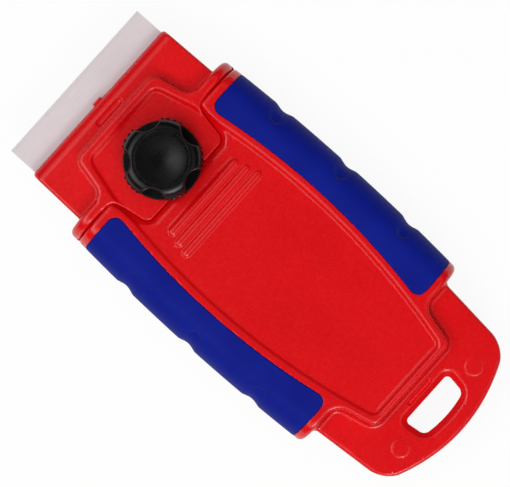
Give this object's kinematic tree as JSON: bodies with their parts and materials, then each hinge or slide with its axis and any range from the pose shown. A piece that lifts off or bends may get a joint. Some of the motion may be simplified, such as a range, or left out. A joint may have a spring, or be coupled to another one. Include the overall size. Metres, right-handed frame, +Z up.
{
  "type": "utility scraper",
  "caption": "Hand scraper: moulded handle with soft side grips, a knob-clamped jaw that holds a single-edge razor blade, and a hang slot in the tail.",
  "frame": {"origin": "centre of the tool's plan box, on the surface that it lies on", "axes": "+X towards the cutting edge, +Y to the left, +Z up towards the knob"},
  "size_m": [0.1078, 0.0502, 0.0217],
  "materials": {
    "red_plastic": "satin moulded",
    "blue_grip": "matte, fine grain",
    "black_plastic": "satin moulded",
    "fastener_steel": "zinc plated",
    "blade_steel": "ground satin"
  },
  "bodies": {
    "handle_body": {"handle_top_shell": "red_plastic", "handle_bottom_shell": "red_plastic", "upper_left_grip": "blue_grip", "upper_right_grip": "blue_grip", "lower_left_grip": "blue_grip", "lower_right_grip": "blue_grip", "clamp_nut": "fastener_steel", "case_screw_1": "fastener_steel", "case_screw_2": "fastener_steel", "case_screw_3": "fastener_steel", "case_screw_4": "fastener_steel"},
    "jaw_body": {"clamp_jaw": "red_plastic", "clamp_washer": "fastener_steel"},
    "knob_body": {"knob": "black_plastic", "knob_cap": "black_plastic", "knob_bolt": "fastener_steel"},
    "blade_body": {"blade": "blade_steel", "blade_spine": "blade_steel"}
  },
  "joints": [
    {"name": "jaw_lift", "type": "slide", "parent": "handle_body", "child": "jaw_body", "axis": [0, 0, 1], "range_m": [0, 0.0014]},
    {"name": "knob_turn", "type": "hinge", "parent": "jaw_body", "child": "knob_body", "pos_m": [0.02877, 0, 0.0141], "axis": [0, 0, 1], "range_deg": [0, 720]},
    {"name": "blade_slide", "type": "slide", "parent": "handle_body", "child": "blade_body", "axis": [1, 0, 0], "range_m": [-0.003, 0]}
  ],
  "couplings": [
    {"joint": "knob_turn", "follows": "jaw_lift", "rad_per_m": 8975.9}
  ]
}
